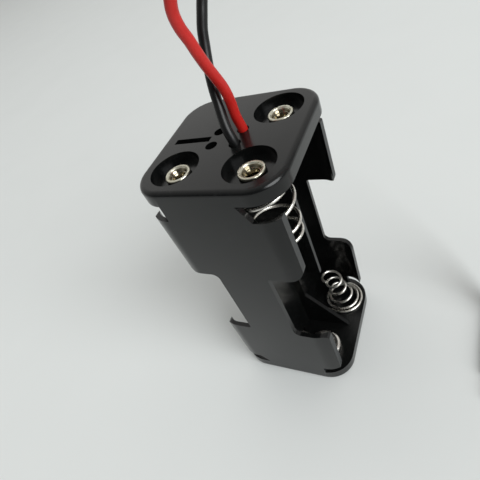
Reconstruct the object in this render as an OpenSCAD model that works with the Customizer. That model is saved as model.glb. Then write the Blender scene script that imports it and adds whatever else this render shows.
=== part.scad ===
// Open-sided moulded holder for four round cells, two by two, wired in series.
// Origin: centre of the underside. +Z points to the plate that the leads leave.
// The open sides of the cell bays face -X and +X.

/* [Cells] */
// Diameter of one cell
cell_diameter = 10.5; // [9:0.1:13]
// Length of one cell over its terminals
cell_length = 44.5; // [38:0.5:60]
// Length beyond the cell for both plates, the contact and the pressed spring
end_allowance = 8; // [7.5:0.1:12]
// Play between a cell and the walls in front of and behind it
bay_play = 0.25; // [0.1:0.05:1]
// Width of a bay beyond the cell, towards the open side
side_margin = 0.8; // [0.4:0.1:2]

/* [Walls] */
// Thickness of the front and back walls and of their wrapped ears
wall_thickness = 0.85; // [0.6:0.05:1.2]
// Thickness of the wall between the left and right bays
centre_wall = 1.2; // [0.8:0.1:2]
// Thickness of the web between the front and back bays
web_thickness = 0.8; // [0.6:0.1:1.4]
// Outside radius where an ear wraps round a cell
ear_corner = 4.2; // [3:0.1:5]
// Distance of an ear's end face from the open side
ear_setback = 1.4; // [0.8:0.1:2.5]

/* [End plates] */
// Thickness of each end plate
plate_thickness = 2.5; // [2.2:0.1:3.5]
// Corner radius of the end plates
plate_corner = 5; // [2:0.1:5.5]
// Radius on the outer edge of the plate with the leads
top_edge = 0.8; // [0.2:0.1:1.2]
// Radius on the outer edge of the plate without leads
low_edge = 0.5; // [0.2:0.1:1.2]
// Diameter of the recess round each eyelet
recess_diameter = 7.8; // [5:0.1:8.4]
// Depth of the recess round each eyelet
recess_depth = 1.5; // [0.8:0.1:1.7]

/* [Cut-outs] */
// Half the width of wall left between the finger cut-outs
finger_half = 4.6; // [3.5:0.1:7]
// Height of the lower edge of the finger cut-outs
finger_low = 17.1; // [14:0.1:20]
// Height of the upper edge of the finger cut-outs
finger_high = 34.2; // [26:0.1:36]
// Radius of the two softer inner corners of the cut-outs
finger_soft = 1.2; // [0.6:0.1:3]
// Radius of the two crisper inner corners of the cut-outs
finger_crisp = 0.4; // [0.1:0.1:3]
// Radius of the free corners of the ears
ear_tip = 1.6; // [0.4:0.1:3]
// Gap between the ears and the plate with the leads
notch_top = 3; // [1.5:0.1:4]
// Gap between the ears and the other plate
notch_low = 1.9; // [1:0.1:3]
// Half the width of wall that reaches the plates
notch_half = 7.25; // [6.4:0.05:8]

/* [Web] */
// Reach of the web from the centre wall
web_reach = 7.3; // [5:0.1:9]
// Reach of the web where it is cut back
web_cut_reach = 2.15; // [1.5:0.05:4]
// Height of the cut-back step above the plate it stands on
web_step = 18.5; // [15:0.1:20]
// Height of the gusset between the plate and the web
gusset_height = 9.6; // [5:0.1:12]
// Reach of the gusset along the plate
gusset_foot = 9.8; // [7:0.1:10.4]
// Height of the windows that the links pass through
link_window = 1.6; // [1.2:0.1:2]

/* [Contacts] */
// Distance of a contact's axis from the open side
contact_side = 5.8; // [5:0.1:7]
// Distance of a contact's axis from the front or back face
contact_front = 5.5; // [5:0.1:7]
// Outer diameter of a positive contact
cup_diameter = 6.6; // [5.6:0.1:7]
// Height of a positive contact above its plate
cup_height = 2; // [1.6:0.1:2.4]
// Thickness of the contact's sheet
cup_sheet = 0.3; // [0.2:0.05:0.4]
// Diameter of the spring wire and of the bare cores
wire_diameter = 0.55; // [0.4:0.05:0.6]
// Radius at which the three short springs start
spring_base = 4.1; // [3.9:0.05:4.2]
// Distance of the lower springs' base from the contact's axis, towards the open side
spring_shift = 1.1; // [0:0.1:1.2]
// Radius of the base turn of the long spring
long_base = 4.2; // [3.8:0.1:4.3]
// Bore diameter of an eyelet
eyelet_bore = 1.6; // [1:0.1:1.8]
// Outside diameter of an eyelet's shank
eyelet_shank = 2.2; // [2.1:0.05:2.4]
// Diameter of an eyelet's rolled rim
eyelet_rim = 4.1; // [3.4:0.1:4.4]

/* [Leads] */
// Outside diameter of a lead's insulation
lead_diameter = 1.5; // [1.2:0.1:1.7]
// Diameter of the holes for the leads
lead_hole = 1.9; // [1.8:0.1:2.1]
// Distance of the lead holes from the centre, across the width
lead_x = 2; // [1.8:0.05:2.2]
// Distance of the lead holes from the centre, across the depth
lead_y = 1.7; // [1.6:0.05:1.9]
// Length of bare core at the free end of a lead
bare_end = 5; // [2:0.5:8]

/* [Hidden] */

body_width = 2 * (cell_diameter + side_margin) + centre_wall;
body_depth = 2 * (cell_diameter + bay_play + wall_thickness) + web_thickness;
body_height = cell_length + end_allowance;
roof = body_height - plate_thickness;
half_width = body_width / 2;
half_depth = body_depth / 2;
inner_depth = half_depth - wall_thickness;
contact_x = half_width - contact_side;
contact_y = half_depth - contact_front;

wire = wire_diameter / 2;
// Centre radius of a wire bent round an eyelet's shank
ring_radius = eyelet_shank / 2 + wire + 0.025;
// Distance from a plate to the sheet that presses a wire ring against it
clamp_height = wire_diameter;
// Where the insulation ends and the bare core starts
strip_height = roof + 0.4;

// Turn, radius, height above the base turn and lean, for the short conical springs
short_turns = [[0, spring_base, 0, 0], [0.7, 3.73, 0, 0], [1, 3.45, 0.3, 0],
    [1.5, 3.05, 0.7, 0.05], [2, 2.55, 1.4, 0.15], [2.5, 2.2, 2.4, 0.35],
    [3, 1.95, 3.6, 0.6], [3.5, 1.8, 4.8, 0.85], [4, 1.8, 6, 1.1], [4.5, 1.85, 7, 1.4],
    [5, 1.9, 7.9, 1.7]];
// The same for the long spring, which leans towards the open side
long_turns = [[0, long_base, 0, 0], [0.35, long_base, 0, 0], [0.66, long_base, 0.9, 0.1],
    [1, long_base, 1.9, 0.2], [1.33, 4.1, 2.8, 0.4], [1.66, 3.85, 3.95, 0.5],
    [2, 3.45, 6, 0.7], [2.33, 3.15, 7.6, 1], [2.66, 3, 8, 1.15], [3, 2.9, 9, 1.25],
    [3.33, 2.75, 9.9, 1.3], [3.66, 2.65, 10.3, 1.3], [4, 2.6, 10.7, 1.3]];
// Angle at which the long spring's base turn starts
long_start = 124;

// Way of the black lead, from the end of its insulation to its bare end
black_way = [[lead_x, -lead_y, strip_height], [lead_x, -lead_y, body_height],
    [1.4, -1.2, 54.4], [0.8, -0.2, 56], [0.3, 0.9, 57.6], [-0.1, 1.9, 59.3], [-0.3, 2.8, 61],
    [-0.4, 3.7, 62.6], [-0.4, 4.5, 64.2], [-0.3, 5.2, 65.8], [0, 6, 67.3], [0.3, 6.8, 68.7],
    [1.2, 8.4, 71.8], [3, 10, 74.6], [5.8, 11.4, 76.8], [9.2, 12.6, 78.2], [13, 13.6, 78.6],
    [17, 14.4, 78], [20.6, 15.2, 76.4], [24, 16, 73.8], [27.2, 16.8, 70.2],
    [29.8, 17.6, 65.8], [32, 18.2, 60.6], [33.6, 18.8, 54.6], [34.8, 19.2, 48.2],
    [35.6, 19.6, 41.4], [36, 19.8, 34.4], [36.2, 19.9, 27.4], [36.2, 19.6, 20.6],
    [36.2, 18.6, 14], [36.2, 16.4, 7.8], [36.2, 12.8, 3], [36.1, 8.4, 0.75],
    [36, 3.6, 0.75], [35.8, -1, 0.75], [35.9, -5.2, 0.75]];
// Way of the red lead
red_way = [[lead_x, lead_y, strip_height], [lead_x, lead_y, body_height],
    [1.9, 1.4, 54.9], [2.1, 1.2, 57.3], [2.2, 0.8, 59.5], [2, 0.2, 61.6], [1.8, -0.4, 63.5],
    [1.7, -0.9, 65.3], [1.6, -1.3, 67.1], [1.5, -1.8, 68.7], [1.6, -2.1, 70.3],
    [2.1, -2.2, 71.8], [3.4, -2.1, 74.6], [5.6, -1.8, 77.2], [8.8, -1.2, 79.2],
    [12.6, -0.4, 80.4], [16.8, 0.8, 80.4], [20.8, 2.2, 79.4], [24.6, 3.8, 77.2],
    [28, 5.6, 73.8], [31, 7.6, 69.6], [33.4, 9.6, 64.4], [35.4, 11.4, 58.6],
    [36.8, 13, 52.2], [37.7, 14.2, 45.4], [38.3, 15, 38.4], [38.6, 15.5, 31.4],
    [38.7, 15.6, 24.4], [38.7, 15, 17.6], [38.7, 13.4, 11.2], [38.6, 10.4, 5.4],
    [38.5, 6.4, 1.5], [38.4, 1.8, 0.75], [38.2, -2.8, 0.75], [38.3, -7, 0.75]];

$fn = 48;

function unit(v) = v / norm(v);

// Direction of a polyline at point i
function heading(p, i) =
    unit(p[min(i + 1, len(p) - 1)] - p[max(i - 1, 0)]);

// Side vectors carried along a polyline without twist
function sides(p, start) =
    [for (i = 0, n = unit(start); i < len(p);
        i = i + 1,
        t = i < len(p) ? heading(p, i) : [0, 0, 1],
        n = unit(n - (n * t) * t)) n];

// Catmull-Rom curve through the points of a way, with k pieces for each span
function smooth(p, k) = let (m = len(p) - 1) concat(
    [for (i = [0 : m - 1], j = [0 : k - 1])
        let (u = j / k, a = p[i], b = p[i + 1],
            ta = i == 0 ? b - a : (b - p[i - 1]) / 2,
            tb = i == m - 1 ? b - a : (p[i + 2] - a) / 2)
        a * (2 * u ^ 3 - 3 * u ^ 2 + 1) + ta * (u ^ 3 - 2 * u ^ 2 + u)
            + b * (3 * u ^ 2 - 2 * u ^ 3) + tb * (u ^ 3 - u ^ 2)],
    [p[m]]);

function column(table, k) = [for (row = table) [row[0], row[k]]];

function polar(centre, r, a, z) =
    [centre[0] + r * cos(a), centre[1] + r * sin(a), z];

// Turns of a spring: each 18 degrees gives one point
function turns(table, start) =
    let (last = table[len(table) - 1][0])
    [for (k = [0 : 20 * last])
        let (t = k / 20)
        polar([lookup(t, column(table, 3)), 0], lookup(t, column(table, 1)), start + 360 * t,
            wire + lookup(t, column(table, 2)))];

// Short spring with its tail, which runs along +X and is bent round an eyelet at x = link
function tailed_spring(link) =
    let (tilt = asin((spring_base - ring_radius) / link))
    concat([for (a = [-300 : 20 : 0]) polar([link, 0], ring_radius, 90 - tilt + a, wire)],
        turns(short_turns, 90 - tilt));

// Long spring: ring round its own eyelet, spiral out to the base turn, then the coil
function centred_spring(start) =
    concat([for (a = [-230 : 20 : -10]) polar([0, 0], ring_radius, start - 270 + a, wire)],
        [for (k = [0 : 14]) let (q = k / 15)
            polar([0, 0], ring_radius + (long_base - ring_radius) * q * q,
                start - 270 + 270 * q, wire)],
        turns(long_turns, start));

// Round bar along a polyline
module tube(p, r, start, n = 8) {
    side = sides(p, start);
    m = len(p);
    points = [for (i = [0 : m - 1], k = [0 : n - 1])
        let (a = 360 * (k + 0.5) / n, t = heading(p, i))
        p[i] + r * (cos(a) * side[i] + sin(a) * cross(t, side[i]))];
    walls = [for (i = [0 : m - 2], k = [0 : n - 1])
        let (a = i * n + k, b = i * n + (k + 1) % n)
        each [[a, a + n, b], [b, a + n, b + n]]];
    ends = [[for (k = [0 : n - 1]) k], [for (k = [n - 1 : -1 : 0]) (m - 1) * n + k]];
    polyhedron(points, concat(walls, ends), convexity = 10);
}

module rounded_square(w, d, r) {
    square([w - 2 * r, d], center = true);
    square([w, d - 2 * r], center = true);
    for (x = [-1, 1], y = [-1, 1])
        translate([x * (w / 2 - r), y * (d / 2 - r)]) circle(r);
}

// Section of a plate from its middle to its rounded upper edge, l away
module edge_section(l, edge) {
    square([l, plate_thickness - edge]);
    square([l - edge, plate_thickness]);
    translate([l - edge, plate_thickness - edge]) circle(edge);
}

// Plate with a rounded upper edge
module end_plate(edge) {
    across = body_width / 2 - plate_corner;
    along = body_depth / 2 - plate_corner;
    rotate([90, 0, 90]) linear_extrude(2 * across, center = true) {
        edge_section(body_depth / 2, edge);
        mirror([1, 0]) edge_section(body_depth / 2, edge);
    }
    for (s = [0, 180]) rotate(s) rotate([90, 0, 0]) linear_extrude(2 * along, center = true)
        translate([across, 0]) edge_section(plate_corner, edge);
    for (c = [[1, 1, 0], [-1, 1, 90], [-1, -1, 180], [1, -1, 270]])
        translate([c[0] * across, c[1] * along, 0]) rotate(c[2])
            rotate_extrude(angle = 90) edge_section(plate_corner, edge);
}

// Material left in an inside corner, with its arms along +X and +Y
module corner_fill(r) {
    difference() {
        square(r);
        translate([r, r]) circle(r);
    }
}

// Finger cut-out of one side, drawn on the X-Z plane
module finger_cut(r_low, r_high) {
    tip = half_width - ear_setback;
    difference() {
        translate([finger_half, finger_low])
            square([body_width, finger_high - finger_low]);
        translate([finger_half, finger_low]) corner_fill(r_low);
        translate([finger_half, finger_high]) mirror([0, 1]) corner_fill(r_high);
    }
    translate([tip, finger_high]) mirror([1, 0]) corner_fill(ear_tip);
    translate([tip, finger_low]) rotate(180) corner_fill(ear_tip);
}

// Gaps between the ears and the plates, drawn on the X-Z plane
module notches() {
    far = body_width;
    top = roof - notch_top;
    low = plate_thickness + notch_low;
    translate([-far, top]) square([far - notch_half, notch_top]);
    translate([notch_half, plate_thickness]) square([far, notch_low]);
    polygon([[notch_half - 2.15, roof], [notch_half - 0.55, top], [far, top], [far, roof]]);
    polygon([[0.45 - notch_half, low], [2.05 - notch_half, plate_thickness],
        [-far, plate_thickness], [-far, low]]);
}

// Front and back walls with the ears that wrap round the cells
module walls() {
    inner = ear_corner - wall_thickness;
    difference() {
        translate([0, 0, plate_thickness]) linear_extrude(roof - plate_thickness)
            intersection() {
                difference() {
                    rounded_square(body_width, body_depth, ear_corner);
                    rounded_square(body_width - 2 * wall_thickness,
                        body_depth - 2 * wall_thickness, inner);
                }
                square([body_width - 2 * ear_setback, body_depth + 2], center = true);
            }
        rotate([90, 0, 0]) linear_extrude(body_depth + 4, center = true) {
            finger_cut(finger_soft, finger_crisp);
            mirror([1, 0]) finger_cut(finger_crisp, finger_soft);
            notches();
        }
    }
}

// Web between the front and back bays of the right-hand side
module half_web() {
    p = plate_thickness;
    rotate([90, 0, 0]) linear_extrude(web_thickness, center = true)
        polygon([[0, p - 0.5], [gusset_foot, p - 0.5], [gusset_foot, p],
            [web_cut_reach, p + gusset_height], [web_cut_reach, p + web_step],
            [web_reach, p + web_step], [web_reach, roof + 0.5], [0, roof + 0.5]]);
}

// Ledge on the front or back wall that holds a spring without an eyelet
module ledge(x, y, upper) {
    z = upper ? roof - wire_diameter - 0.75 : plate_thickness + wire_diameter + 0.05;
    reach = upper ? 1 : 1.5;
    translate([x - (x > 0 ? 1.8 : 0.2), y > 0 ? inner_depth - reach : -inner_depth - 0.3, z])
        cube([2, reach + 0.3, 0.7]);
}

// Recess and shank hole of an eyelet, seen from the outside of the plate
module eyelet_seat() {
    translate([0, 0, -recess_depth]) cylinder(h = recess_depth + 1, d = recess_diameter);
    translate([0, 0, -plate_thickness - 1])
        cylinder(h = plate_thickness + 2, d = eyelet_shank + 0.1);
}

module housing() {
    color([0.05, 0.05, 0.055]) difference() {
        union() {
            translate([0, 0, roof]) end_plate(top_edge);
            translate([0, 0, plate_thickness]) mirror([0, 0, 1]) end_plate(low_edge);
            walls();
            translate([-centre_wall / 2, -inner_depth - 0.4, plate_thickness - 0.5])
                cube([centre_wall, 2 * inner_depth + 0.8, roof - plate_thickness + 1]);
            half_web();
            translate([0, 0, body_height]) rotate([0, 180, 0]) half_web();
            ledge(-contact_x, contact_y, true);
            ledge(-contact_x, -contact_y, false);
            ledge(contact_x, contact_y, false);
        }
        // Window for the link under the plate with the leads, and the slot that forms it
        translate([-half_width + 1.7, -2, roof - link_window])
            cube([half_width - 1.7 - 2.95, 4, link_window]);
        translate([-9.4, -0.6, roof - 1]) cube([9.4 - 2.95, 1.2, plate_thickness + 2]);
        // Windows for the links above the other plate
        for (y = [-1, 1])
            translate([-2, y * 6.45 - 3.25, plate_thickness]) cube([4, 6.5, link_window]);
        for (x = [-1, 1], y = [-1, 1])
            translate([x * lead_x, y * lead_y, roof - 0.5])
                cylinder(h = plate_thickness + 1, d = lead_hole);
        for (p = [[-1, -1], [1, -1], [1, 1]])
            translate([p[0] * contact_x, p[1] * contact_y, body_height]) eyelet_seat();
        for (s = [-1, 1])
            translate([s * contact_x, -s * contact_y, 0]) rotate([180, 0, 0]) eyelet_seat();
    }
}

// Eyelet whose plate lies at z = 0 and whose stack below the plate is s thick
module eyelet(s) {
    bore = eyelet_bore / 2;
    shank = eyelet_shank / 2;
    rim = eyelet_rim / 2;
    floor_z = plate_thickness - recess_depth;
    roll = 0.5;
    mouth = rim - roll - 0.1;
    color([0.78, 0.76, 0.72]) rotate_extrude() difference() {
        union() {
            translate([bore, -s - 0.3]) square([shank - bore, floor_z + s + 0.6]);
            translate([rim - roll, floor_z]) intersection() {
                translate([0, 0.15]) circle(roll);
                translate([-1, 0]) square(2);
            }
            translate([shank - 0.1, floor_z]) square([rim - roll - shank + 0.1, 0.65]);
            translate([shank - 0.1, -s - 0.45]) square([0.85, 0.45]);
        }
        // Mouth that opens towards the rim
        polygon([[0, floor_z - 0.15], [bore, floor_z - 0.15], [mouth, floor_z + 0.65],
            [mouth, floor_z + 1], [0, floor_z + 1]]);
    }
}

// Pressed positive contact standing on a plate, with its wire slot at angle a
module cup(a) {
    r = cup_diameter / 2;
    t = cup_sheet;
    h = cup_height;
    edge = 0.5;
    hole = eyelet_shank / 2 + 0.05;
    seat = hole + 0.7;
    brim = r - edge - 0.3;
    color([0.8, 0.79, 0.76]) difference() {
        rotate_extrude() difference() {
            translate([hole, 0]) square([r - edge - hole, h]);
            polygon([[0, clamp_height + t], [seat + 0.05, clamp_height + t],
                [brim + 0.05, h], [brim + 0.05, h + 1], [0, h + 1]]);
            difference() {
                translate([0, -1]) square([r, h - t + 1]);
                polygon([[0, clamp_height], [seat - 0.05, clamp_height],
                    [brim - 0.05, h - t], [brim - 0.05, h], [0, h]]);
            }
        }
        rotate([0, 0, a]) translate([r - 1, -0.6, -1]) cube([2, 1.2, 1.75]);
    }
    color([0.8, 0.79, 0.76]) difference() {
        rotate_extrude() difference() {
            union() {
                translate([r - edge - 0.1, 0]) square([edge + 0.1, h - edge]);
                translate([r - edge - 0.1, 0]) square([0.1, h]);
                translate([r - edge, h - edge]) circle(edge);
            }
            translate([0, -1]) square([r - t, h - edge + 1]);
            translate([0, -1]) square([r - edge, h - t + 1]);
            translate([r - edge, h - edge]) circle(edge - t);
        }
        rotate([0, 0, a]) translate([r - 1, -0.6, -1]) cube([2, 1.2, 1.75]);
    }
}

// Angle at which a tail that comes along +X over the length link passes a cup's skirt
function slot_angle(link) =
    90 - asin((spring_base - ring_radius) / link) + acos(ring_radius / (cup_diameter / 2));

// Puts a contact drawn for a lower plate under the upper plate
module under_roof() {
    translate([0, 0, roof]) rotate([180, 0, 0]) children();
}

// Ring of bare core round an eyelet, coming from a lead hole along the plate
function core_way(s, z) =
    let (q = [lead_x - contact_x, s * (contact_y - lead_y)],
        bearing = atan2(q[1], q[0]),
        reach = acos(ring_radius / norm(q)),
        first = bearing - s * reach,
        touch = polar([0, 0], ring_radius, first, z),
        a = [q[0], q[1], z])
    concat([[q[0], q[1], strip_height], [q[0], q[1], strip_height - 0.25]],
        [a * 0.99 + touch * 0.01 + [0, 0, 0.62 * (strip_height - z)]],
        [a * 0.96 + touch * 0.04 + [0, 0, 0.25 * (strip_height - z)]],
        [a * 0.9 + touch * 0.1],
        [for (k = [0 : 15]) polar([0, 0], ring_radius, first - s * 20 * k, z)]);

module core(s, z) {
    color([0.75, 0.72, 0.68]) translate([contact_x, -s * contact_y, 0])
        tube(core_way(s, z), wire, [0, 1, 0]);
}

module lead(way) {
    tube(smooth(way, 1), lead_diameter / 2, [0, 1, 0]);
}

// Bare strands beyond the insulation of a lead
module tip(way) {
    end = way[len(way) - 1];
    dir = unit(end - way[len(way) - 2]);
    color([0.78, 0.76, 0.72]) tube([end, end + bare_end * dir], wire, [0, 0, 1]);
}

module contact_front_left() {
    translate([-contact_x, -contact_y, 0]) under_roof()
        cup(90 + slot_angle(2 * contact_y));
}
module contact_back_right() {
    q = [contact_x - lead_x, contact_y - lead_y];
    translate([contact_x, contact_y, 0]) under_roof()
        cup(180 - atan2(q[1], q[0]) - acos(ring_radius / norm(q))
            + acos(ring_radius / (cup_diameter / 2)));
}
module contact_low_front_right() {
    translate([contact_x, -contact_y, plate_thickness]) cup(slot_angle(2 * contact_x + spring_shift));
}
module contact_low_back_left() {
    translate([-contact_x, contact_y, plate_thickness]) cup(180 + slot_angle(2 * contact_x + spring_shift));
}

module spring_front_right() {
    color([0.8, 0.79, 0.76]) translate([contact_x, -contact_y, 0]) under_roof()
        tube(centred_spring(long_start), wire, [0, 0, 1]);
}
module spring_back_left() {
    color([0.8, 0.79, 0.76]) translate([-contact_x, contact_y, 0]) under_roof()
        rotate([0, 0, 90]) tube(tailed_spring(2 * contact_y), wire, [0, 0, 1]);
}
module spring_low_front_left() {
    color([0.8, 0.79, 0.76])
        translate([-contact_x - spring_shift, -contact_y, plate_thickness])
            tube(tailed_spring(2 * contact_x + spring_shift), wire, [0, 0, 1]);
}
module spring_low_back_right() {
    color([0.8, 0.79, 0.76])
        translate([contact_x + spring_shift, contact_y, plate_thickness]) rotate([0, 0, 180])
            tube(tailed_spring(2 * contact_x + spring_shift), wire, [0, 0, 1]);
}

module eyelet_front_left() {
    translate([-contact_x, -contact_y, roof]) eyelet(clamp_height + cup_sheet);
}
module eyelet_front_right() {
    translate([contact_x, -contact_y, roof]) eyelet(2 * clamp_height);
}
module eyelet_back_right() {
    translate([contact_x, contact_y, roof]) eyelet(clamp_height + cup_sheet);
}
module eyelet_low_front_right() {
    translate([contact_x, -contact_y, plate_thickness]) rotate([180, 0, 0])
        eyelet(clamp_height + cup_sheet);
}
module eyelet_low_back_left() {
    translate([-contact_x, contact_y, plate_thickness]) rotate([180, 0, 0])
        eyelet(clamp_height + cup_sheet);
}

module black_core() { core(1, roof - wire_diameter - wire); }
module red_core() { core(-1, roof - wire); }
module black_lead() { color([0.04, 0.04, 0.045]) lead(black_way); }
module red_lead() { color([0.75, 0.03, 0.03]) lead(red_way); }
module black_tip() { tip(black_way); }
module red_tip() { tip(red_way); }

housing();
contact_front_left();
contact_back_right();
contact_low_front_right();
contact_low_back_left();
spring_front_right();
spring_back_left();
spring_low_front_left();
spring_low_back_right();
eyelet_front_left();
eyelet_front_right();
eyelet_back_right();
eyelet_low_front_right();
eyelet_low_back_left();
black_core();
red_core();
black_lead();
red_lead();
black_tip();
red_tip();
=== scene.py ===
import bpy
import bmesh
import math
import random
from mathutils import Matrix, Vector


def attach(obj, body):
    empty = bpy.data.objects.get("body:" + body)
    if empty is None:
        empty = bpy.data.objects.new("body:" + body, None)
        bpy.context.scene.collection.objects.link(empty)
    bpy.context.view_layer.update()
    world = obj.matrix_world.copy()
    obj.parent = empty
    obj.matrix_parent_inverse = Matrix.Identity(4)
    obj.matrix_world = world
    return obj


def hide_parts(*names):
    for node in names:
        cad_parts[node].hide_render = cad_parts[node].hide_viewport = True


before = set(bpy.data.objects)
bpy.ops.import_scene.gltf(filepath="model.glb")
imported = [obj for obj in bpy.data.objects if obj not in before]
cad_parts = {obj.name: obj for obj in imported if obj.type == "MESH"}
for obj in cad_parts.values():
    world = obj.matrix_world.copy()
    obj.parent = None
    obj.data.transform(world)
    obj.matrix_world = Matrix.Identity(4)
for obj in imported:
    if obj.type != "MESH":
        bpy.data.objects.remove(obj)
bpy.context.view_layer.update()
mm = 0.001
print("frame loaded:", len(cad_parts), "nodes")

# Camera
cameraSetup = {
    "place": (30.866, -42.927, 80.843),  # mm
    "right": (0.869366, 0.351772, -0.347071),
    "down": (0.042486, -0.752940, -0.656717),
    "ahead": (-0.492338, 0.556182, -0.669526),
    "lens": 29.75,
}


def makeCamera(setup):
    data = bpy.data.cameras.new("mainCamera")
    data.lens = setup["lens"]
    data.sensor_width = 36
    data.clip_start = 0.002
    data.clip_end = 20
    camera = bpy.data.objects.new("mainCamera", data)
    bpy.context.scene.collection.objects.link(camera)
    right, down, ahead = (Vector(setup[k]).normalized() for k in ("right", "down", "ahead"))
    turn = Matrix((right, -down, -ahead)).transposed().to_4x4()
    camera.matrix_world = Matrix.Translation(Vector(setup["place"]) * mm) @ turn
    bpy.context.scene.camera = camera


makeCamera(cameraSetup)


# Shape tools
def smoothRoute(points, steps):
    # one smooth curve through the points, with steps pieces between two of them
    pts = [Vector(p) for p in points]
    out = []
    for i in range(len(pts) - 1):
        a, b = pts[i], pts[i + 1]
        ta = (b - pts[i - 1]) / 2 if i else b - a
        tb = (pts[i + 2] - a) / 2 if i + 2 < len(pts) else b - a
        for j in range(steps):
            u = j / steps
            out.append(a * (2 * u**3 - 3 * u**2 + 1) + ta * (u**3 - 2 * u**2 + u)
                       + b * (3 * u**2 - 2 * u**3) + tb * (u**3 - u**2))
    out.append(pts[-1])
    return out


def wireCurve(name, points, radius, sides=4):
    # round bar along points given in mm
    data = bpy.data.curves.new(name, "CURVE")
    data.dimensions = "3D"
    data.bevel_depth = radius * mm
    data.bevel_resolution = sides
    data.use_fill_caps = True
    data.twist_mode = "MINIMUM"
    spline = data.splines.new("POLY")
    spline.points.add(len(points) - 1)
    for point, place in zip(spline.points, points):
        point.co = (*(Vector(place) * mm), 1)
    spline.use_smooth = True
    obj = bpy.data.objects.new(name, data)
    bpy.context.scene.collection.objects.link(obj)
    return obj


def tubeMesh(bm, points, radius, sides=10, taper=None):
    # adds a closed tube along points (mm) to a bmesh, carried along without twist
    pts = [Vector(p) for p in points]
    rings = []
    side = None
    for i, p in enumerate(pts):
        ahead = (pts[min(i + 1, len(pts) - 1)] - pts[max(i - 1, 0)]).normalized()
        if side is None:
            side = ahead.orthogonal().normalized()
        side = (side - ahead * side.dot(ahead)).normalized()
        other = ahead.cross(side)
        r = radius * (taper[i] if taper else 1)
        rings.append([bm.verts.new((p + side * (r * math.cos(2 * math.pi * k / sides))
                                    + other * (r * math.sin(2 * math.pi * k / sides))) * mm)
                      for k in range(sides)])
    for one, two in zip(rings, rings[1:]):
        for k in range(sides):
            bm.faces.new((one[k], one[(k + 1) % sides], two[(k + 1) % sides], two[k]))
    bm.faces.new(rings[0][::-1])
    bm.faces.new(rings[-1])


def meshObject(name, bm, smooth=True, angle=40):
    data = bpy.data.meshes.new(name)
    bmesh.ops.recalc_face_normals(bm, faces=bm.faces)
    bm.to_mesh(data)
    bm.free()
    obj = bpy.data.objects.new(name, data)
    bpy.context.scene.collection.objects.link(obj)
    if smooth:
        data.shade_smooth()
        data.set_sharp_from_angle(angle=math.radians(angle))
    return obj


def place(obj, material, slotName, nodes=()):
    # finish, body and the nodes that the piece stands for
    obj.data.materials.append(material)
    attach(obj, "root")
    if nodes:
        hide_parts(*nodes)


# Cords
leads = {
    "diameter": 1.5,
    "length": 150,
    "bareLength": 5,
    "coreDiameter": 0.55,
    "strands": 6,  # round a middle one
    "twist": 300,  # degrees over the bare end
    "spread": 0.1,  # how much further apart the strands end
    # each way leads from the end of the insulation, through its hole, to the bare end
    "black": [
        (2, -1.7, 50.4), (2, -1.7, 52.5), (1.4, -1.2, 54.4), (0.8, -0.2, 56),
        (0.3, 0.9, 57.6), (-0.1, 1.9, 59.3), (-0.3, 2.8, 61), (-0.4, 3.7, 62.6),
        (-0.4, 4.5, 64.2), (-0.3, 5.2, 65.8), (0, 6, 67.3), (0.3, 6.8, 68.7),
        (1.2, 8.4, 71.8), (3, 10, 74.6), (5.8, 11.4, 76.8), (9.2, 12.6, 78.2),
        (13, 13.6, 78.6), (17, 14.4, 78), (20.6, 15.2, 76.4), (24, 16, 73.8),
        (27.2, 16.8, 70.2), (29.8, 17.6, 65.8), (32, 18.2, 60.6), (33.6, 18.8, 54.6),
        (34.8, 19.2, 48.2), (35.6, 19.6, 41.4), (36, 19.8, 34.4), (36.2, 19.9, 27.4),
        (36.2, 19.6, 20.6), (36.2, 18.6, 14), (36.2, 16.4, 7.8), (36.2, 12.8, 3),
        (36.1, 8.4, 0.75), (36, 3.6, 0.75), (35.8, -1, 0.75), (35.9, -5.2, 0.75)],
    "red": [
        (2, 1.7, 50.4), (2, 1.7, 52.5), (1.9, 1.4, 54.9), (2.1, 1.2, 57.3),
        (2.2, 0.8, 59.5), (2, 0.2, 61.6), (1.8, -0.4, 63.5), (1.7, -0.9, 65.3),
        (1.6, -1.3, 67.1), (1.5, -1.8, 68.7), (1.6, -2.1, 70.3), (2.1, -2.2, 71.8),
        (3.4, -2.1, 74.6), (5.6, -1.8, 77.2), (8.8, -1.2, 79.2), (12.6, -0.4, 80.4),
        (16.8, 0.8, 80.4), (20.8, 2.2, 79.4), (24.6, 3.8, 77.2), (28, 5.6, 73.8),
        (31, 7.6, 69.6), (33.4, 9.6, 64.4), (35.4, 11.4, 58.6), (36.8, 13, 52.2),
        (37.7, 14.2, 45.4), (38.3, 15, 38.4), (38.6, 15.5, 31.4), (38.7, 15.6, 24.4),
        (38.7, 15, 17.6), (38.7, 13.4, 11.2), (38.6, 10.4, 5.4), (38.5, 6.4, 1.5),
        (38.4, 1.8, 0.75), (38.2, -2.8, 0.75), (38.3, -7, 0.75)],
}


def makeLead(colour):
    route = leads[colour]
    smooth = smoothRoute(route, 6)
    for point in smooth:
        point.z = max(point.z, leads["diameter"] / 2)  # on the floor, not in it
    lead = wireCurve(colour + "Lead", smooth, leads["diameter"] / 2, 6)
    ahead = (Vector(route[-1]) - Vector(route[-2])).normalized()
    end = Vector(route[-1])
    side = Vector((0, 0, 1)).cross(ahead)
    bm = bmesh.new()
    strand = leads["coreDiameter"] / 6.2  # three strands across, with a little air
    for k in range(leads["strands"] + 1):
        points = []
        for j in range(25):
            u = j / 24
            swing = 0 if k == leads["strands"] else strand * 2.02 * (1 + leads["spread"] * u)
            a = math.radians(60 * k + leads["twist"] * u)
            reach = leads["bareLength"] * (0.94 + 0.02 * (k % 3))
            points.append(end + ahead * (u * reach) + side * (swing * math.cos(a))
                          + Vector((0, 0, swing * math.sin(a))))
        tubeMesh(bm, points, strand, 8)
    tip = meshObject(colour + "TipStrands", bm)
    return lead, tip


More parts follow.
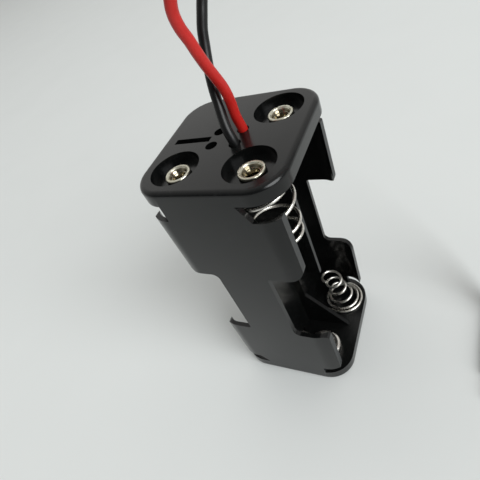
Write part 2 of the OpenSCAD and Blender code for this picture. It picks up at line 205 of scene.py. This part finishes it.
blackLead, blackTip = makeLead("black")
redLead, redTip = makeLead("red")
print("cords made")


# Shader groups
def newGroup(name, inputs, outputs):
    # inputs and outputs: name -> (socket type, first value)
    tree = bpy.data.node_groups.new(name, "ShaderNodeTree")
    for way, sockets in (("INPUT", inputs), ("OUTPUT", outputs)):
        for label, (kind, value) in sockets.items():
            socket = tree.interface.new_socket(name=label, in_out=way, socket_type=kind)
            if value is not None:
                socket.default_value = value
    start = tree.nodes.new("NodeGroupInput")
    end = tree.nodes.new("NodeGroupOutput")
    return tree, start, end


def node(tree, kind, **settings):
    made = tree.nodes.new(kind)
    for key, value in settings.items():
        setattr(made, key, value)
    return made


def mathNode(tree, operation, first, second=None, clamp=False):
    made = node(tree, "ShaderNodeMath", operation=operation, use_clamp=clamp)
    for socket, value in zip(made.inputs, (first, second)):
        if value is None:
            continue
        if isinstance(value, (int, float)):
            socket.default_value = value
        else:
            tree.links.new(value, socket)
    return made.outputs[0]


def noiseNode(tree, vector, scale, detail=3.0, roughness=0.5):
    made = node(tree, "ShaderNodeTexNoise")
    tree.links.new(vector, made.inputs["Vector"])
    if isinstance(scale, (int, float)):
        made.inputs["Scale"].default_value = scale
    else:
        tree.links.new(scale, made.inputs["Scale"])
    made.inputs["Detail"].default_value = detail
    made.inputs["Roughness"].default_value = roughness
    return made.outputs[0]


def rangeNode(tree, value, low, high, toLow=0.0, toHigh=1.0):
    made = node(tree, "ShaderNodeMapRange")
    tree.links.new(value, made.inputs["Value"])
    for label, amount in (("From Min", low), ("From Max", high), ("To Min", toLow), ("To Max", toHigh)):
        if isinstance(amount, (int, float)):
            made.inputs[label].default_value = amount
        else:
            tree.links.new(amount, made.inputs[label])
    return made.outputs["Result"]


def mixColour(tree, factor, first, second):
    made = node(tree, "ShaderNodeMix", data_type="RGBA")
    for label, value in (("Factor", factor), ("A", first), ("B", second)):
        socket = next(s for s in made.inputs if s.name == label and s.enabled)
        if isinstance(value, (int, float)):
            socket.default_value = value
        elif isinstance(value, tuple):
            socket.default_value = (*value, 1)
        else:
            tree.links.new(value, socket)
    return next(s for s in made.outputs if s.enabled)


def buildMouldSkin():
    # fine texture of a moulded skin, with flow clouds
    tree, start, end = newGroup(
        "mouldSkin",
        {"Grain Scale": ("NodeSocketFloat", 6000.0), "Cloud Scale": ("NodeSocketFloat", 120.0)},
        {"Height": ("NodeSocketFloat", None), "Clouds": ("NodeSocketFloat", None)})
    place3d = node(tree, "ShaderNodeTexCoord").outputs["Object"]
    fine = noiseNode(tree, place3d, start.outputs["Grain Scale"], 2.0, 0.6)
    clouds = noiseNode(tree, place3d, start.outputs["Cloud Scale"], 3.0, 0.55)
    tree.links.new(fine, end.inputs["Height"])
    tree.links.new(rangeNode(tree, clouds, 0.3, 0.7), end.inputs["Clouds"])
    return tree


def buildScuffs():
    # thin random scratches: two sets of stretched cells, broken up
    tree, start, end = newGroup(
        "scuffs",
        {"Scale": ("NodeSocketFloat", 400.0), "Amount": ("NodeSocketFloat", 0.5)},
        {"Mask": ("NodeSocketFloat", None)})
    place3d = node(tree, "ShaderNodeTexCoord").outputs["Object"]
    masks = []
    for turn in ((0.3, 0.9, 0.4), (1.2, -0.5, 2.1)):
        mapping = node(tree, "ShaderNodeMapping")
        mapping.inputs["Rotation"].default_value = turn
        mapping.inputs["Scale"].default_value = (1, 0.06, 1)
        tree.links.new(place3d, mapping.inputs["Vector"])
        streak = noiseNode(tree, mapping.outputs[0], start.outputs["Scale"], 2.0, 0.4)
        narrow = mathNode(tree, "ABSOLUTE", mathNode(tree, "SUBTRACT", streak, 0.5))
        masks.append(rangeNode(tree, narrow, 0.0, 0.012, 1.0, 0.0))
    patches = noiseNode(tree, place3d, 220.0, 2.0)
    cover = rangeNode(tree, patches, 0.52, 0.66)
    both = mathNode(tree, "MULTIPLY", mathNode(tree, "MAXIMUM", *masks), cover)
    tree.links.new(mathNode(tree, "MULTIPLY", both, start.outputs["Amount"], True), end.inputs["Mask"])
    return tree


def buildDust():
    # fine pale specks, more on faces that look up
    tree, start, end = newGroup(
        "dust",
        {"Scale": ("NodeSocketFloat", 1800.0), "Amount": ("NodeSocketFloat", 0.3)},
        {"Mask": ("NodeSocketFloat", None)})
    place3d = node(tree, "ShaderNodeTexCoord").outputs["Object"]
    specks = node(tree, "ShaderNodeTexVoronoi", feature="F1")
    tree.links.new(place3d, specks.inputs["Vector"])
    tree.links.new(start.outputs["Scale"], specks.inputs["Scale"])
    dots = rangeNode(tree, specks.outputs["Distance"], 0.10, 0.2, 1.0, 0.0)
    patches = rangeNode(tree, noiseNode(tree, place3d, 260.0, 3.0), 0.5, 0.75)
    split = node(tree, "ShaderNodeSeparateXYZ")
    tree.links.new(node(tree, "ShaderNodeNewGeometry").outputs["Normal"], split.inputs[0])
    facing = rangeNode(tree, split.outputs["Z"], -0.2, 1.0, 0.25, 1.0)
    mask = mathNode(tree, "MULTIPLY", mathNode(tree, "MULTIPLY", dots, patches), facing)
    tree.links.new(mathNode(tree, "MULTIPLY", mask, start.outputs["Amount"], True), end.inputs["Mask"])
    return tree


def buildTarnish():
    # clouded and speckled plating
    tree, start, end = newGroup(
        "tarnish",
        {"Cloud Scale": ("NodeSocketFloat", 500.0), "Speck Scale": ("NodeSocketFloat", 3500.0)},
        {"Clouds": ("NodeSocketFloat", None), "Specks": ("NodeSocketFloat", None),
         "Height": ("NodeSocketFloat", None)})
    place3d = node(tree, "ShaderNodeTexCoord").outputs["Object"]
    clouds = rangeNode(tree, noiseNode(tree, place3d, start.outputs["Cloud Scale"], 4.0, 0.6), 0.35, 0.68)
    fine = noiseNode(tree, place3d, start.outputs["Speck Scale"], 3.0, 0.6)
    tree.links.new(clouds, end.inputs["Clouds"])
    tree.links.new(rangeNode(tree, fine, 0.58, 0.72), end.inputs["Specks"])
    tree.links.new(fine, end.inputs["Height"])
    return tree


mouldSkin = buildMouldSkin()
scuffs = buildScuffs()
dust = buildDust()
tarnish = buildTarnish()


def groupNode(tree, group, **values):
    made = node(tree, "ShaderNodeGroup", node_tree=group)
    for label, value in values.items():
        made.inputs[label.replace("_", " ")].default_value = value
    return made


def newMaterial(name, **constants):
    # a Principled material, with constants set on the shader's own sockets
    material = bpy.data.materials.new(name)
    material.use_nodes = True
    tree = material.node_tree
    shader = tree.nodes["Principled BSDF"]
    for label, value in constants.items():
        shader.inputs[label.replace("_", " ")].default_value = value
    return material, tree, shader


def bump(tree, shader, height, strength, distance):
    made = node(tree, "ShaderNodeBump")
    made.inputs["Strength"].default_value = strength
    made.inputs["Distance"].default_value = distance
    tree.links.new(height, made.inputs["Height"])
    tree.links.new(made.outputs["Normal"], shader.inputs["Normal"])


plasticLook = {
    "name": "blackMouldedPlastic",
    "base": (0.0026, 0.0028, 0.0028),
    "cloudy": (0.0042, 0.0045, 0.0044),
    "worn": (0.022, 0.023, 0.023),
    "dust": (0.12, 0.115, 0.11),
    "roughness": (0.19, 0.215),
    "grainScale": 5200.0,
    "grainStrength": 0.35,
    "grainDepth": 0.000004,  # m
    "cloudScale": 170.0,
    "scuffScale": 900.0,
    "scuffs": 0.3,
    "scuffRoughness": 0.25,
    "speckScale": 2400.0,
    "specks": 0.14,
}
# faces that look sideways, the ends of the ears and of the web: a lighter, rougher copy of the plastic, its
# lighter colour a painted highlight
sideLitLook = plasticLook | {
    "name": "paintedLitSidePlastic", "base": (0.016, 0.0175, 0.0178), "cloudy": (0.024, 0.026, 0.0265),
    "roughness": (0.34, 0.46), "grainDepth": 0.00001, "scuffs": 0.8,
}


def makePlastic(look):
    material, tree, shader = newMaterial(look["name"], IOR=1.4)
    skin = groupNode(tree, mouldSkin, Grain_Scale=look["grainScale"], Cloud_Scale=look["cloudScale"])
    marks = groupNode(tree, scuffs, Scale=look["scuffScale"], Amount=look["scuffs"])
    specks = groupNode(tree, dust, Scale=look["speckScale"], Amount=look["specks"])
    colour = mixColour(tree, skin.outputs["Clouds"], look["base"], look["cloudy"])
    colour = mixColour(tree, marks.outputs["Mask"], colour, look["worn"])
    colour = mixColour(tree, specks.outputs["Mask"], colour, look["dust"])
    tree.links.new(colour, shader.inputs["Base Color"])
    rough = rangeNode(tree, skin.outputs["Clouds"], 0.0, 1.0, *look["roughness"])
    wear = mathNode(tree, "MULTIPLY", marks.outputs["Mask"], look["scuffRoughness"])
    tree.links.new(mathNode(tree, "ADD", rough, wear), shader.inputs["Roughness"])
    bump(tree, shader, skin.outputs["Height"], look["grainStrength"], look["grainDepth"])
    return material


metalFinish = {"speckRoughness": 0.2, "grainStrength": 0.3}
metalLooks = {
    "springNickel": {"bright": (0.86, 0.84, 0.79), "dull": (0.66, 0.63, 0.57), "specks": (0.4, 0.36, 0.3),
                     "roughness": (0.2, 0.34), "clouds": 450.0, "fine": 4200.0, "depth": 0.000003},
    "pressedNickel": {"bright": (0.84, 0.82, 0.78), "dull": (0.68, 0.65, 0.6), "specks": (0.42, 0.38, 0.33),
                      "roughness": (0.16, 0.3), "clouds": 300.0, "fine": 3000.0, "depth": 0.000003},
    "eyeletNickel": {"bright": (0.76, 0.75, 0.64), "dull": (0.56, 0.53, 0.41), "specks": (0.26, 0.22, 0.16),
                     "roughness": (0.22, 0.4), "clouds": 900.0, "fine": 4200.0, "depth": 0.000005},
    # darker copy of the eyelet plating for the bore and funnel: painted shade in the hollow
    "eyeletBore": {"bright": (0.36, 0.32, 0.23), "dull": (0.13, 0.11, 0.07), "specks": (0.07, 0.055, 0.04),
                   "roughness": (0.08, 0.16), "clouds": 900.0, "fine": 4200.0, "depth": 0.000004},
    "tinnedCopper": {"bright": (0.8, 0.77, 0.72), "dull": (0.66, 0.58, 0.5), "specks": (0.55, 0.36, 0.24),
                     "roughness": (0.25, 0.42), "clouds": 900.0, "fine": 6000.0, "depth": 0.000003},
}


def makeMetal(name):
    look = metalLooks[name]
    material, tree, shader = newMaterial(name, Metallic=1.0)
    stains = groupNode(tree, tarnish, Cloud_Scale=look["clouds"], Speck_Scale=look["fine"])
    colour = mixColour(tree, stains.outputs["Clouds"], look["bright"], look["dull"])
    colour = mixColour(tree, stains.outputs["Specks"], colour, look["specks"])
    tree.links.new(colour, shader.inputs["Base Color"])
    rough = rangeNode(tree, stains.outputs["Clouds"], 0.0, 1.0, *look["roughness"])
    pits = mathNode(tree, "MULTIPLY", stains.outputs["Specks"], metalFinish["speckRoughness"])
    tree.links.new(mathNode(tree, "ADD", rough, pits), shader.inputs["Roughness"])
    bump(tree, shader, stains.outputs["Height"], metalFinish["grainStrength"], look["depth"])
    return material


coverFinish = {"grainScale": 3600.0, "grainStrength": 0.3, "grainDepth": 0.000006, "cloudScale": 380.0,
               "scuffScale": 1200.0, "scuffs": 0.4, "speckScale": 3200.0, "specks": 0.3}
coverLooks = {
    "blackCover": {"base": (0.002, 0.002, 0.0021), "cloudy": (0.0036, 0.0036, 0.0038),
                   "worn": (0.03, 0.03, 0.031), "dust": (0.12, 0.115, 0.11), "roughness": (0.3, 0.4)},
    "redCover": {"base": (0.42, 0.0085, 0.006), "cloudy": (0.5, 0.015, 0.011),
                 "worn": (0.55, 0.06, 0.045), "dust": (0.55, 0.3, 0.26), "roughness": (0.34, 0.44)},
}


def makeCover(name):
    look = coverLooks[name] | coverFinish
    material, tree, shader = newMaterial(name, IOR=1.42)
    skin = groupNode(tree, mouldSkin, Grain_Scale=look["grainScale"], Cloud_Scale=look["cloudScale"])
    marks = groupNode(tree, scuffs, Scale=look["scuffScale"], Amount=look["scuffs"])
    specks = groupNode(tree, dust, Scale=look["speckScale"], Amount=look["specks"])
    colour = mixColour(tree, skin.outputs["Clouds"], look["base"], look["cloudy"])
    colour = mixColour(tree, marks.outputs["Mask"], colour, look["worn"])
    colour = mixColour(tree, specks.outputs["Mask"], colour, look["dust"])
    tree.links.new(colour, shader.inputs["Base Color"])
    tree.links.new(rangeNode(tree, skin.outputs["Clouds"], 0.0, 1.0, *look["roughness"]),
                   shader.inputs["Roughness"])
    bump(tree, shader, skin.outputs["Height"], look["grainStrength"], look["grainDepth"])
    return material


plastic = makePlastic(plasticLook)
sideLitPlastic = makePlastic(sideLitLook)
metals = {name: makeMetal(name) for name in metalLooks}
covers = {name: makeCover(name) for name in coverLooks}
print("materials made")


# Leads into place
for colour, lead, tip in (("black", blackLead, blackTip), ("red", redLead, redTip)):
    place(lead, covers[colour + "Cover"], colour + "_insulation", (colour + "_lead",))
    place(tip, metals["tinnedCopper"], "tinned_core", (colour + "_tip",))
print("cords placed")


# Housing
moulding = {
    "edgeWidth": 0.14,  # mm
    "edgeSteps": 2,
    "edgeAngle": 32,  # degrees
    "sameFace": 0.6,  # degrees between facets that count as one face
    "litSidesFrom": 7,  # mm from the middle, for faces that look sideways
    # these two pick the sideways faces that get the painted highlight
    "litSidesHeights": (3, 49.5),
}


def roundedCopy(cadNode, name, width, steps, angle):
    # the node's own form with its sharp edges eased
    bm = bmesh.new()
    bm.from_mesh(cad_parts[cadNode].data)
    bmesh.ops.remove_doubles(bm, verts=bm.verts, dist=1e-7)
    bmesh.ops.dissolve_limit(bm, angle_limit=math.radians(moulding["sameFace"]), verts=bm.verts,
                             edges=bm.edges)
    low, high = moulding["litSidesHeights"]
    for face in bm.faces:
        # sideways faces get the lighter copy of the plastic: painted highlight
        middle = face.calc_center_median() / mm
        sideways = abs(face.normal.x) > 0.98 and abs(middle.x) > moulding["litSidesFrom"]
        if sideways and low < middle.z < high:
            face.material_index = 1  # the lighter copy, a painted highlight
    obj = meshObject(name, bm, True, angle)
    ease = obj.modifiers.new("easedEdges", "BEVEL")
    ease.width = width * mm
    ease.segments = steps
    ease.limit_method = "ANGLE"
    ease.angle_limit = math.radians(angle)
    ease.harden_normals = True
    ease.miter_outer = "MITER_ARC"
    ease.use_clamp_overlap = True
    flatten = obj.modifiers.new("flatShading", "WEIGHTED_NORMAL")  # keeps the wide faces even
    flatten.mode = "FACE_AREA"
    flatten.weight = 100
    flatten.keep_sharp = False
    return obj


housing = roundedCopy("housing", "mouldedHousing", moulding["edgeWidth"], moulding["edgeSteps"],
                      moulding["edgeAngle"])
place(housing, plastic, "black_plastic", ("housing",))
housing.data.materials.append(sideLitPlastic)  # for the faces picked out above
print("housing made")


# Springs
springs = {
    "wire": 0.55,  # mm
    "roof": 50,
    "plate": 2.5,
    "contactX": 6.1,
    "contactY": 6.5,
    "shift": 1.1,
    "ring": 1.4,
    "endTaper": 0.8,  # of the wire's radius, at its cut ends
    "shortBase": 4.1,
    # turn, radius, height above the base turn, lean
    "short": [(0, 4.1, 0, 0), (0.7, 3.73, 0, 0), (1, 3.45, 0.3, 0), (1.5, 3.05, 0.7, 0.05),
              (2, 2.55, 1.4, 0.15), (2.5, 2.2, 2.4, 0.35), (3, 1.95, 3.6, 0.6), (3.5, 1.8, 4.8, 0.85),
              (4, 1.8, 6, 1.1), (4.5, 1.85, 7, 1.4), (5, 1.9, 7.9, 1.7)],
    "longStart": 124,
    "long": [(0, 4.2, 0, 0), (0.35, 4.2, 0, 0), (0.66, 4.2, 0.9, 0.1), (1, 4.2, 1.9, 0.2),
             (1.33, 4.1, 2.8, 0.4), (1.66, 3.85, 3.95, 0.5), (2, 3.45, 6, 0.7), (2.33, 3.15, 7.6, 1),
             (2.66, 3, 8, 1.15), (3, 2.9, 9, 1.25), (3.33, 2.75, 9.9, 1.3), (3.66, 2.65, 10.3, 1.3),
             (4, 2.6, 10.7, 1.3)],
}


def polar(centre, radius, angle, height):
    a = math.radians(angle)
    return Vector((centre + radius * math.cos(a), radius * math.sin(a), height))


def coil(table, start, steps=48):
    # smooth turns through a spring's table
    last = table[-1][0]
    slopes = []
    for i in range(len(table)):
        a, b = table[max(i - 1, 0)], table[min(i + 1, len(table) - 1)]
        slopes.append([(b[k] - a[k]) / (b[0] - a[0]) for k in (1, 2, 3)])
    slopes[0][1] = 0
    points = []
    for n in range(int(steps * last) + 1):
        t = n / steps
        i = max(k for k in range(len(table) - 1) if table[k][0] <= t or k == 0)
        a, b = table[i], table[i + 1]
        h = b[0] - a[0]
        u = (t - a[0]) / h
        row = []
        for k in (1, 2, 3):
            if a[k] == b[k]:
                row.append(a[k])
                continue
            row.append(a[k] * (2 * u**3 - 3 * u**2 + 1) + slopes[i][k - 1] * h * (u**3 - 2 * u**2 + u)
                       + b[k] * (3 * u**2 - 2 * u**3) + slopes[i + 1][k - 1] * h * (u**3 - u**2))
        points.append(polar(row[2], row[0], start + 360 * t, springs["wire"] / 2 + max(row[1], 0)))
    return points


def tailedSpring(link):
    tilt = math.degrees(math.asin((springs["shortBase"] - springs["ring"]) / link))
    ring = [polar(link, springs["ring"], 90 - tilt + a, springs["wire"] / 2)
            for a in range(-300, 1, 10)]
    return ring + coil(springs["short"], 90 - tilt)


def centredSpring(start):
    flat = springs["wire"] / 2
    ring = [polar(0, springs["ring"], start - 270 + a, flat) for a in range(-230, 0, 10)]
    base = springs["long"][0][1]
    spiral = [polar(0, springs["ring"] + (base - springs["ring"]) * (k / 30)**2,
                    start - 270 + 270 * k / 30, flat) for k in range(30)]
    return ring + spiral + coil(springs["long"], start)


def makeSpring(name, points, turn, shift, upper, nodes):
    # turned about Z, put under the roof or on the low plate, then moved
    spin = Matrix.Rotation(math.radians(turn), 3, "Z")
    way = []
    for p in points:
        q = spin @ p
        if upper:
            q = Vector((q.x, -q.y, springs["roof"] - q.z))
        else:
            q.z += springs["plate"]
        way.append(q + Vector((*shift, 0)))
    # a short run at each end, so that only the cut itself is eased
    way.insert(1, way[0].lerp(way[1], 0.12))
    way.insert(-1, way[-1].lerp(way[-2], 0.12))
    taper = [springs["endTaper"]] + [1.0] * (len(way) - 2) + [springs["endTaper"]]
    bm = bmesh.new()
    tubeMesh(bm, way, springs["wire"] / 2, 14, taper)
    place(meshObject(name, bm), metals["springNickel"], "spring_wire", nodes)


cx, cy, sh = springs["contactX"], springs["contactY"], springs["shift"]
makeSpring("springFrontRight", centredSpring(springs["longStart"]), 0, (cx, -cy), True,
           ("spring_front_right",))
makeSpring("springBackLeft", tailedSpring(2 * cy), 90, (-cx, cy), True, ("spring_back_left",))
makeSpring("springLowFrontLeft", tailedSpring(2 * cx + sh), 0, (-cx - sh, -cy), False,
           ("spring_low_front_left",))
makeSpring("springLowBackRight", tailedSpring(2 * cx + sh), 180, (cx + sh, cy), False,
           ("spring_low_back_right",))
print("springs made")


# Eyelets
eyelets = {
    "bore": 0.8,  # radii and heights in mm, from the plate's inner face outwards
    "shank": 1.1,
    "rim": 2.05,
    "seat": 1.0,
    "crest": 0.65,
    "foot": 1.85,
    "roll": 0.27,
    "footRoll": 0.19,
    "funnel": [(0.83, 0.32), (0.9, 0.54), (1.01, 0.78), (1.15, 1.02), (1.3, 1.25), (1.43, 1.42)],
    "sides": 96,
    "seed": 31,
    # node: (x, y, direction of the outer face, stack under the plate)
    "places": {
        "eyelet_front_left": (-6.1, -6.5, 1, 0.85),
        "eyelet_front_right": (6.1, -6.5, 1, 1.1),
        "eyelet_back_right": (6.1, 6.5, 1, 0.85),
        "eyelet_low_front_right": (6.1, -6.5, -1, 0.85),
        "eyelet_low_back_left": (-6.1, 6.5, -1, 0.85)},
}


def arc(centre, radius, first, last, steps):
    return [(centre[0] + radius * math.cos(math.radians(first + (last - first) * k / steps)),
             centre[1] + radius * math.sin(math.radians(first + (last - first) * k / steps)))
            for k in range(steps + 1)]


def eyeletProfile(stack):
    # closed section, up the bore, over the rolled rim and back down the shank
    seat, crest, rim, roll = (eyelets[k] for k in ("seat", "crest", "rim", "roll"))
    bore, shank, foot = (eyelets[k] for k in ("bore", "shank", "foot"))
    low = -stack - 0.4
    return ([(bore, low + 0.12), (bore, 0.1)] + eyelets["funnel"]
            + arc((rim - roll, seat + crest - roll), roll, 158, -60, 14)
            + [(rim - 0.3, seat + 0.02), (shank, seat + 0.02), (shank, -stack - 0.02),
               (foot - 0.25, -stack - 0.02)]
            + arc((foot - 0.24, -stack - 0.2), eyelets["footRoll"], 70, -80, 6)
            + [(bore + 0.22, low - 0.02)])


def makeEyelet(cadNode, number):
    x, y, way, stack = eyelets["places"][cadNode]
    pick = random.Random(eyelets["seed"] + number)
    # small splits in the rolled edge: direction, half width in degrees, depth
    splits = [(360 * (k + pick.uniform(0.2, 0.8)) / 4, pick.uniform(3, 6), pick.uniform(0.3, 1))
              for k in range(4)]
    lean = pick.uniform(0, 2 * math.pi)
    profile = eyeletProfile(stack)
    base = springs["roof"] if way > 0 else springs["plate"]
    bm = bmesh.new()
    rings = []
    for k in range(eyelets["sides"]):
        a = 2 * math.pi * k / eyelets["sides"]
        ring = []
        for r, z in profile:
            roll = max(0, min(1, (z - eyelets["seat"] - 0.1) / 0.5)) * max(0, min(1, (r - 1.2) / 0.6))
            for middle, width, depth in splits:
                off = abs((math.degrees(a) - middle + 180) % 360 - 180)
                dip = math.exp(-(off / width)**2) * depth * roll
                r -= 0.07 * dip * (r > 1.7)
                z -= 0.06 * dip
            r += 0.02 * roll * math.sin(2 * a + lean)
            z += 0.015 * roll * math.sin(a + 2 * lean)
            ring.append(bm.verts.new(((x + r * math.cos(a)) * mm, (y + r * math.sin(a)) * mm,
                                      (base + way * z) * mm)))
        rings.append(ring)
    for one, two in zip(rings, rings[1:] + rings[:1]):
        for m in range(len(profile)):
            n = (m + 1) % len(profile)
            face = bm.faces.new((one[m], two[m], two[n], one[n]))
            face.material_index = int(m <= len(eyelets["funnel"]))  # the darker copy, painted shade in the hollow
    piece = meshObject("eyelet" + "".join(w.title() for w in cadNode.split("_")[1:]), bm, True, 50)
    place(piece, metals["eyeletNickel"], "plated_eyelet", (cadNode,))
    piece.data.materials.append(metals["eyeletBore"])
# the bore and funnel faces take the darker copy: painted shade


for number, cadNode in enumerate(eyelets["places"]):
    makeEyelet(cadNode, number)
print("eyelets made")


# Pressed cups
cups = {
    "radius": 3.3,  # mm
    "height": 2.0,
    "sheet": 0.3,
    "clamp": 0.55,
    "hole": 1.15,
    "slotWide": 1.2,
    "slotTall": 0.75,
    "shoulder": 0.38,
    "dishEdge": 2.5,
    "dishFloor": 1.92,
    "sides": 96,
}


def slotAngle(link):
    # where a tail of that length passes the skirt
    return (90 - math.degrees(math.asin((springs["shortBase"] - springs["ring"]) / link))
            + math.degrees(math.acos(springs["ring"] / cups["radius"])))


leadX, leadY = leads["black"][0][0], -leads["black"][0][1]
coreX, coreY = cx - leadX, cy - leadY
coreBearing = math.degrees(math.atan2(coreY, coreX))
coreSwing = (math.degrees(math.acos(springs["ring"] / math.hypot(coreX, coreY)))
             - math.degrees(math.acos(springs["ring"] / cups["radius"])))
# node: (x, y, upper plate, direction of the wire slot in degrees)
cupPlaces = {
    "contact_front_left": (-cx, -cy, True, 90 + slotAngle(2 * cy)),
    "contact_back_right": (cx, cy, True, 180 - coreBearing - coreSwing),
    "contact_low_front_right": (cx, -cy, False, slotAngle(2 * cx + sh)),
    "contact_low_back_left": (-cx, cy, False, 180 + slotAngle(2 * cx + sh)),
}


def makeCup(cadNode):
    # a single pressed sheet, thickened both ways
    x, y, upper, slot = cupPlaces[cadNode]
    half = cups["sheet"] / 2
    skirt, top, seat = cups["radius"] - half, cups["height"] - half, cups["clamp"] + half
    shoulder = cups["shoulder"]
    profile = ([(skirt, 0), (skirt, 0.25), (skirt, 0.5), (skirt, cups["slotTall"]), (skirt, 1.1),
                (skirt, 1.4)]
               + arc((skirt - shoulder, top - shoulder), shoulder, 0, 90, 7)
               + arc((cups["dishEdge"], top - 0.2), 0.2, 90, 148, 4)
               + arc((cups["dishFloor"], seat + 0.22), 0.22, -32, -90, 4)
               + [(1.6, seat), (cups["hole"], seat)])
    wide = math.degrees(cups["slotWide"] / skirt)
    steps = [slot - wide / 2 + wide * k / 4 for k in range(4)]
    rest = cups["sides"] - 4
    steps += [slot + wide / 2 + (360 - wide) * k / rest for k in range(rest)]
    base = springs["roof"] if upper else springs["plate"]
    way = -1 if upper else 1
    bm = bmesh.new()
    rings = []
    for a in steps:
        c, d = math.cos(math.radians(a)), math.sin(math.radians(a)) * way
        rings.append([bm.verts.new(((x + r * c) * mm, (y + r * d) * mm, (base + way * z) * mm))
                      for r, z in profile])
    for k, (one, two) in enumerate(zip(rings, rings[1:] + rings[:1])):
        for m in range(len(profile) - 1):
            if k < 4 and profile[m + 1][1] <= cups["slotTall"] and m < 3:
                continue  # the slot that the wire passes
            bm.faces.new((one[m], two[m], two[m + 1], one[m + 1]))
    bmesh.ops.delete(bm, geom=[v for v in bm.verts if not v.link_faces], context="VERTS")
    piece = meshObject("cup" + "".join(w.title() for w in cadNode.split("_")[1:]), bm, True, 50)
    sheet = piece.modifiers.new("sheet", "SOLIDIFY")
    sheet.thickness = cups["sheet"] * mm
    sheet.offset = 0
    ease = piece.modifiers.new("easedEdges", "BEVEL")
    ease.width = 0.05 * mm
    ease.segments = 2
    ease.angle_limit = math.radians(50)
    place(piece, metals["pressedNickel"], "plated_contact", (cadNode,))


for cadNode in cupPlaces:
    makeCup(cadNode)
print("cups made")


# Bare cores
cores = {"strands": 6, "pitch": 3.6}  # outer strands, length of one twist in mm


def coreWay(side, height):
    # from a lead hole along the roof and round the eyelet, about the eyelet's axis
    q = Vector((-coreX, side * coreY, 0))
    strip = leads["black"][0][2]
    bearing = math.degrees(math.atan2(q.y, q.x))
    first = bearing - side * math.degrees(math.acos(springs["ring"] / q.length))
    touch = polar(0, springs["ring"], first, height)
    a = Vector((q.x, q.y, height))
    drop = strip - height
    points = [Vector((q.x, q.y, strip)), Vector((q.x, q.y, strip - 0.25))]
    points += [a * 0.99 + touch * 0.01 + Vector((0, 0, 0.62 * drop)),
               a * 0.96 + touch * 0.04 + Vector((0, 0, 0.25 * drop)), a * 0.9 + touch * 0.1]
    points += [a.lerp(touch, u) for u in (0.3, 0.5, 0.7, 0.88)]
    points += [polar(0, springs["ring"], first - side * 10 * k, height) for k in range(31)]
    return [p + Vector((cx, -side * cy, 0)) for p in points]


def makeCore(name, side, height, nodes):
    way = smoothRoute(coreWay(side, height), 3)
    strand = leads["coreDiameter"] / 6
    run = [0.0]
    for a, b in zip(way, way[1:]):
        run.append(run[-1] + (b - a).length)
    across = Vector((0, 1, 0))
    frames = []
    for i, p in enumerate(way):
        ahead = (way[min(i + 1, len(way) - 1)] - way[max(i - 1, 0)]).normalized()
        across = (across - ahead * across.dot(ahead)).normalized()
        frames.append((across.copy(), ahead.cross(across)))
    bm = bmesh.new()
    tubeMesh(bm, way, strand, 8)
    for k in range(cores["strands"]):
        points = []
        for p, r, (one, two) in zip(way, run, frames):
            a = 2 * math.pi * (k / cores["strands"] + r / cores["pitch"])
            points.append(p + one * (2 * strand * math.cos(a)) + two * (2 * strand * math.sin(a)))
        tubeMesh(bm, points, strand, 8)
    place(meshObject(name, bm), metals["tinnedCopper"], "tinned_core", nodes)


wire = springs["wire"]
makeCore("blackCoreStrands", 1, springs["roof"] - 1.5 * wire, ("black_core",))
makeCore("redCoreStrands", -1, springs["roof"] - wire / 2, ("red_core",))
print("cores made")


# Floor
floorLook = {"size": 3.0, "colour": (0.73, 0.75, 0.738), "cloudScale": 30.0, "cloudShade": 0.985}


def makeFloor(look):
    bm = bmesh.new()
    half = look["size"] / 2
    bm.faces.new([bm.verts.new((x, y, 0)) for x, y in ((-half, -half), (half, -half), (half, half),
                                                       (-half, half))])
    floor = meshObject("floor", bm, False)
    material, tree, shader = newMaterial("floorPaint", Roughness=0.9, Specular_IOR_Level=0.15)
    place3d = node(tree, "ShaderNodeTexCoord").outputs["Object"]
    cloud = rangeNode(tree, noiseNode(tree, place3d, look["cloudScale"], 3.0), 0.3, 0.7)
    pale = tuple(c * look["cloudShade"] for c in look["colour"])
    tree.links.new(mixColour(tree, cloud, look["colour"], pale), shader.inputs["Base Color"])
    floor.data.materials.append(material)


makeFloor(floorLook)


# Light
lightSetup = {
    "shade": (0.12, 0.125, 0.13),  # world colour on the dim side
    "glow": (1.0, 0.995, 0.97),  # and on the side that the light comes from
    "glowWay": (-0.35, 0.75, 0.6),
    "turnFrom": -0.3,  # where the dim side ends and the glow is full, along glowWay
    "turnTo": 0.95,
    "worldStrength": 0.82,
    # name: place (m), size (m), power (W), colour
    "lamps": {
        "keySoftbox": ((1.95, -0.63, 1.36), 2.0, 62, (0.97, 0.99, 1.0)),
    },
    "aim": (0, 0, 0.02),
}


def makeLights(setup):
    world = bpy.data.worlds.new("studio")
    world.use_nodes = True
    tree = world.node_tree
    back = tree.nodes["Background"]
    back.inputs["Strength"].default_value = setup["worldStrength"]
    dot = node(tree, "ShaderNodeVectorMath", operation="DOT_PRODUCT")
    tree.links.new(node(tree, "ShaderNodeTexCoord").outputs["Generated"], dot.inputs[0])
    dot.inputs[1].default_value = Vector(setup["glowWay"]).normalized()
    turn = rangeNode(tree, dot.outputs["Value"], setup["turnFrom"], setup["turnTo"])
    tree.links.new(mixColour(tree, turn, setup["shade"], setup["glow"]), back.inputs["Color"])
    bpy.context.scene.world = world
    for name, (spot, size, power, colour) in setup["lamps"].items():
        data = bpy.data.lights.new(name, "AREA")
        data.shape = "DISK"
        data.size = size
        data.energy = power
        data.color = colour
        lamp = bpy.data.objects.new(name, data)
        lamp.location = spot
        ahead = Vector(setup["aim"]) - Vector(spot)
        lamp.rotation_euler = ahead.to_track_quat("-Z", "Y").to_euler()
        bpy.context.scene.collection.objects.link(lamp)


makeLights(lightSetup)
bpy.context.scene.view_settings.view_transform = "Standard"
print("stage made")
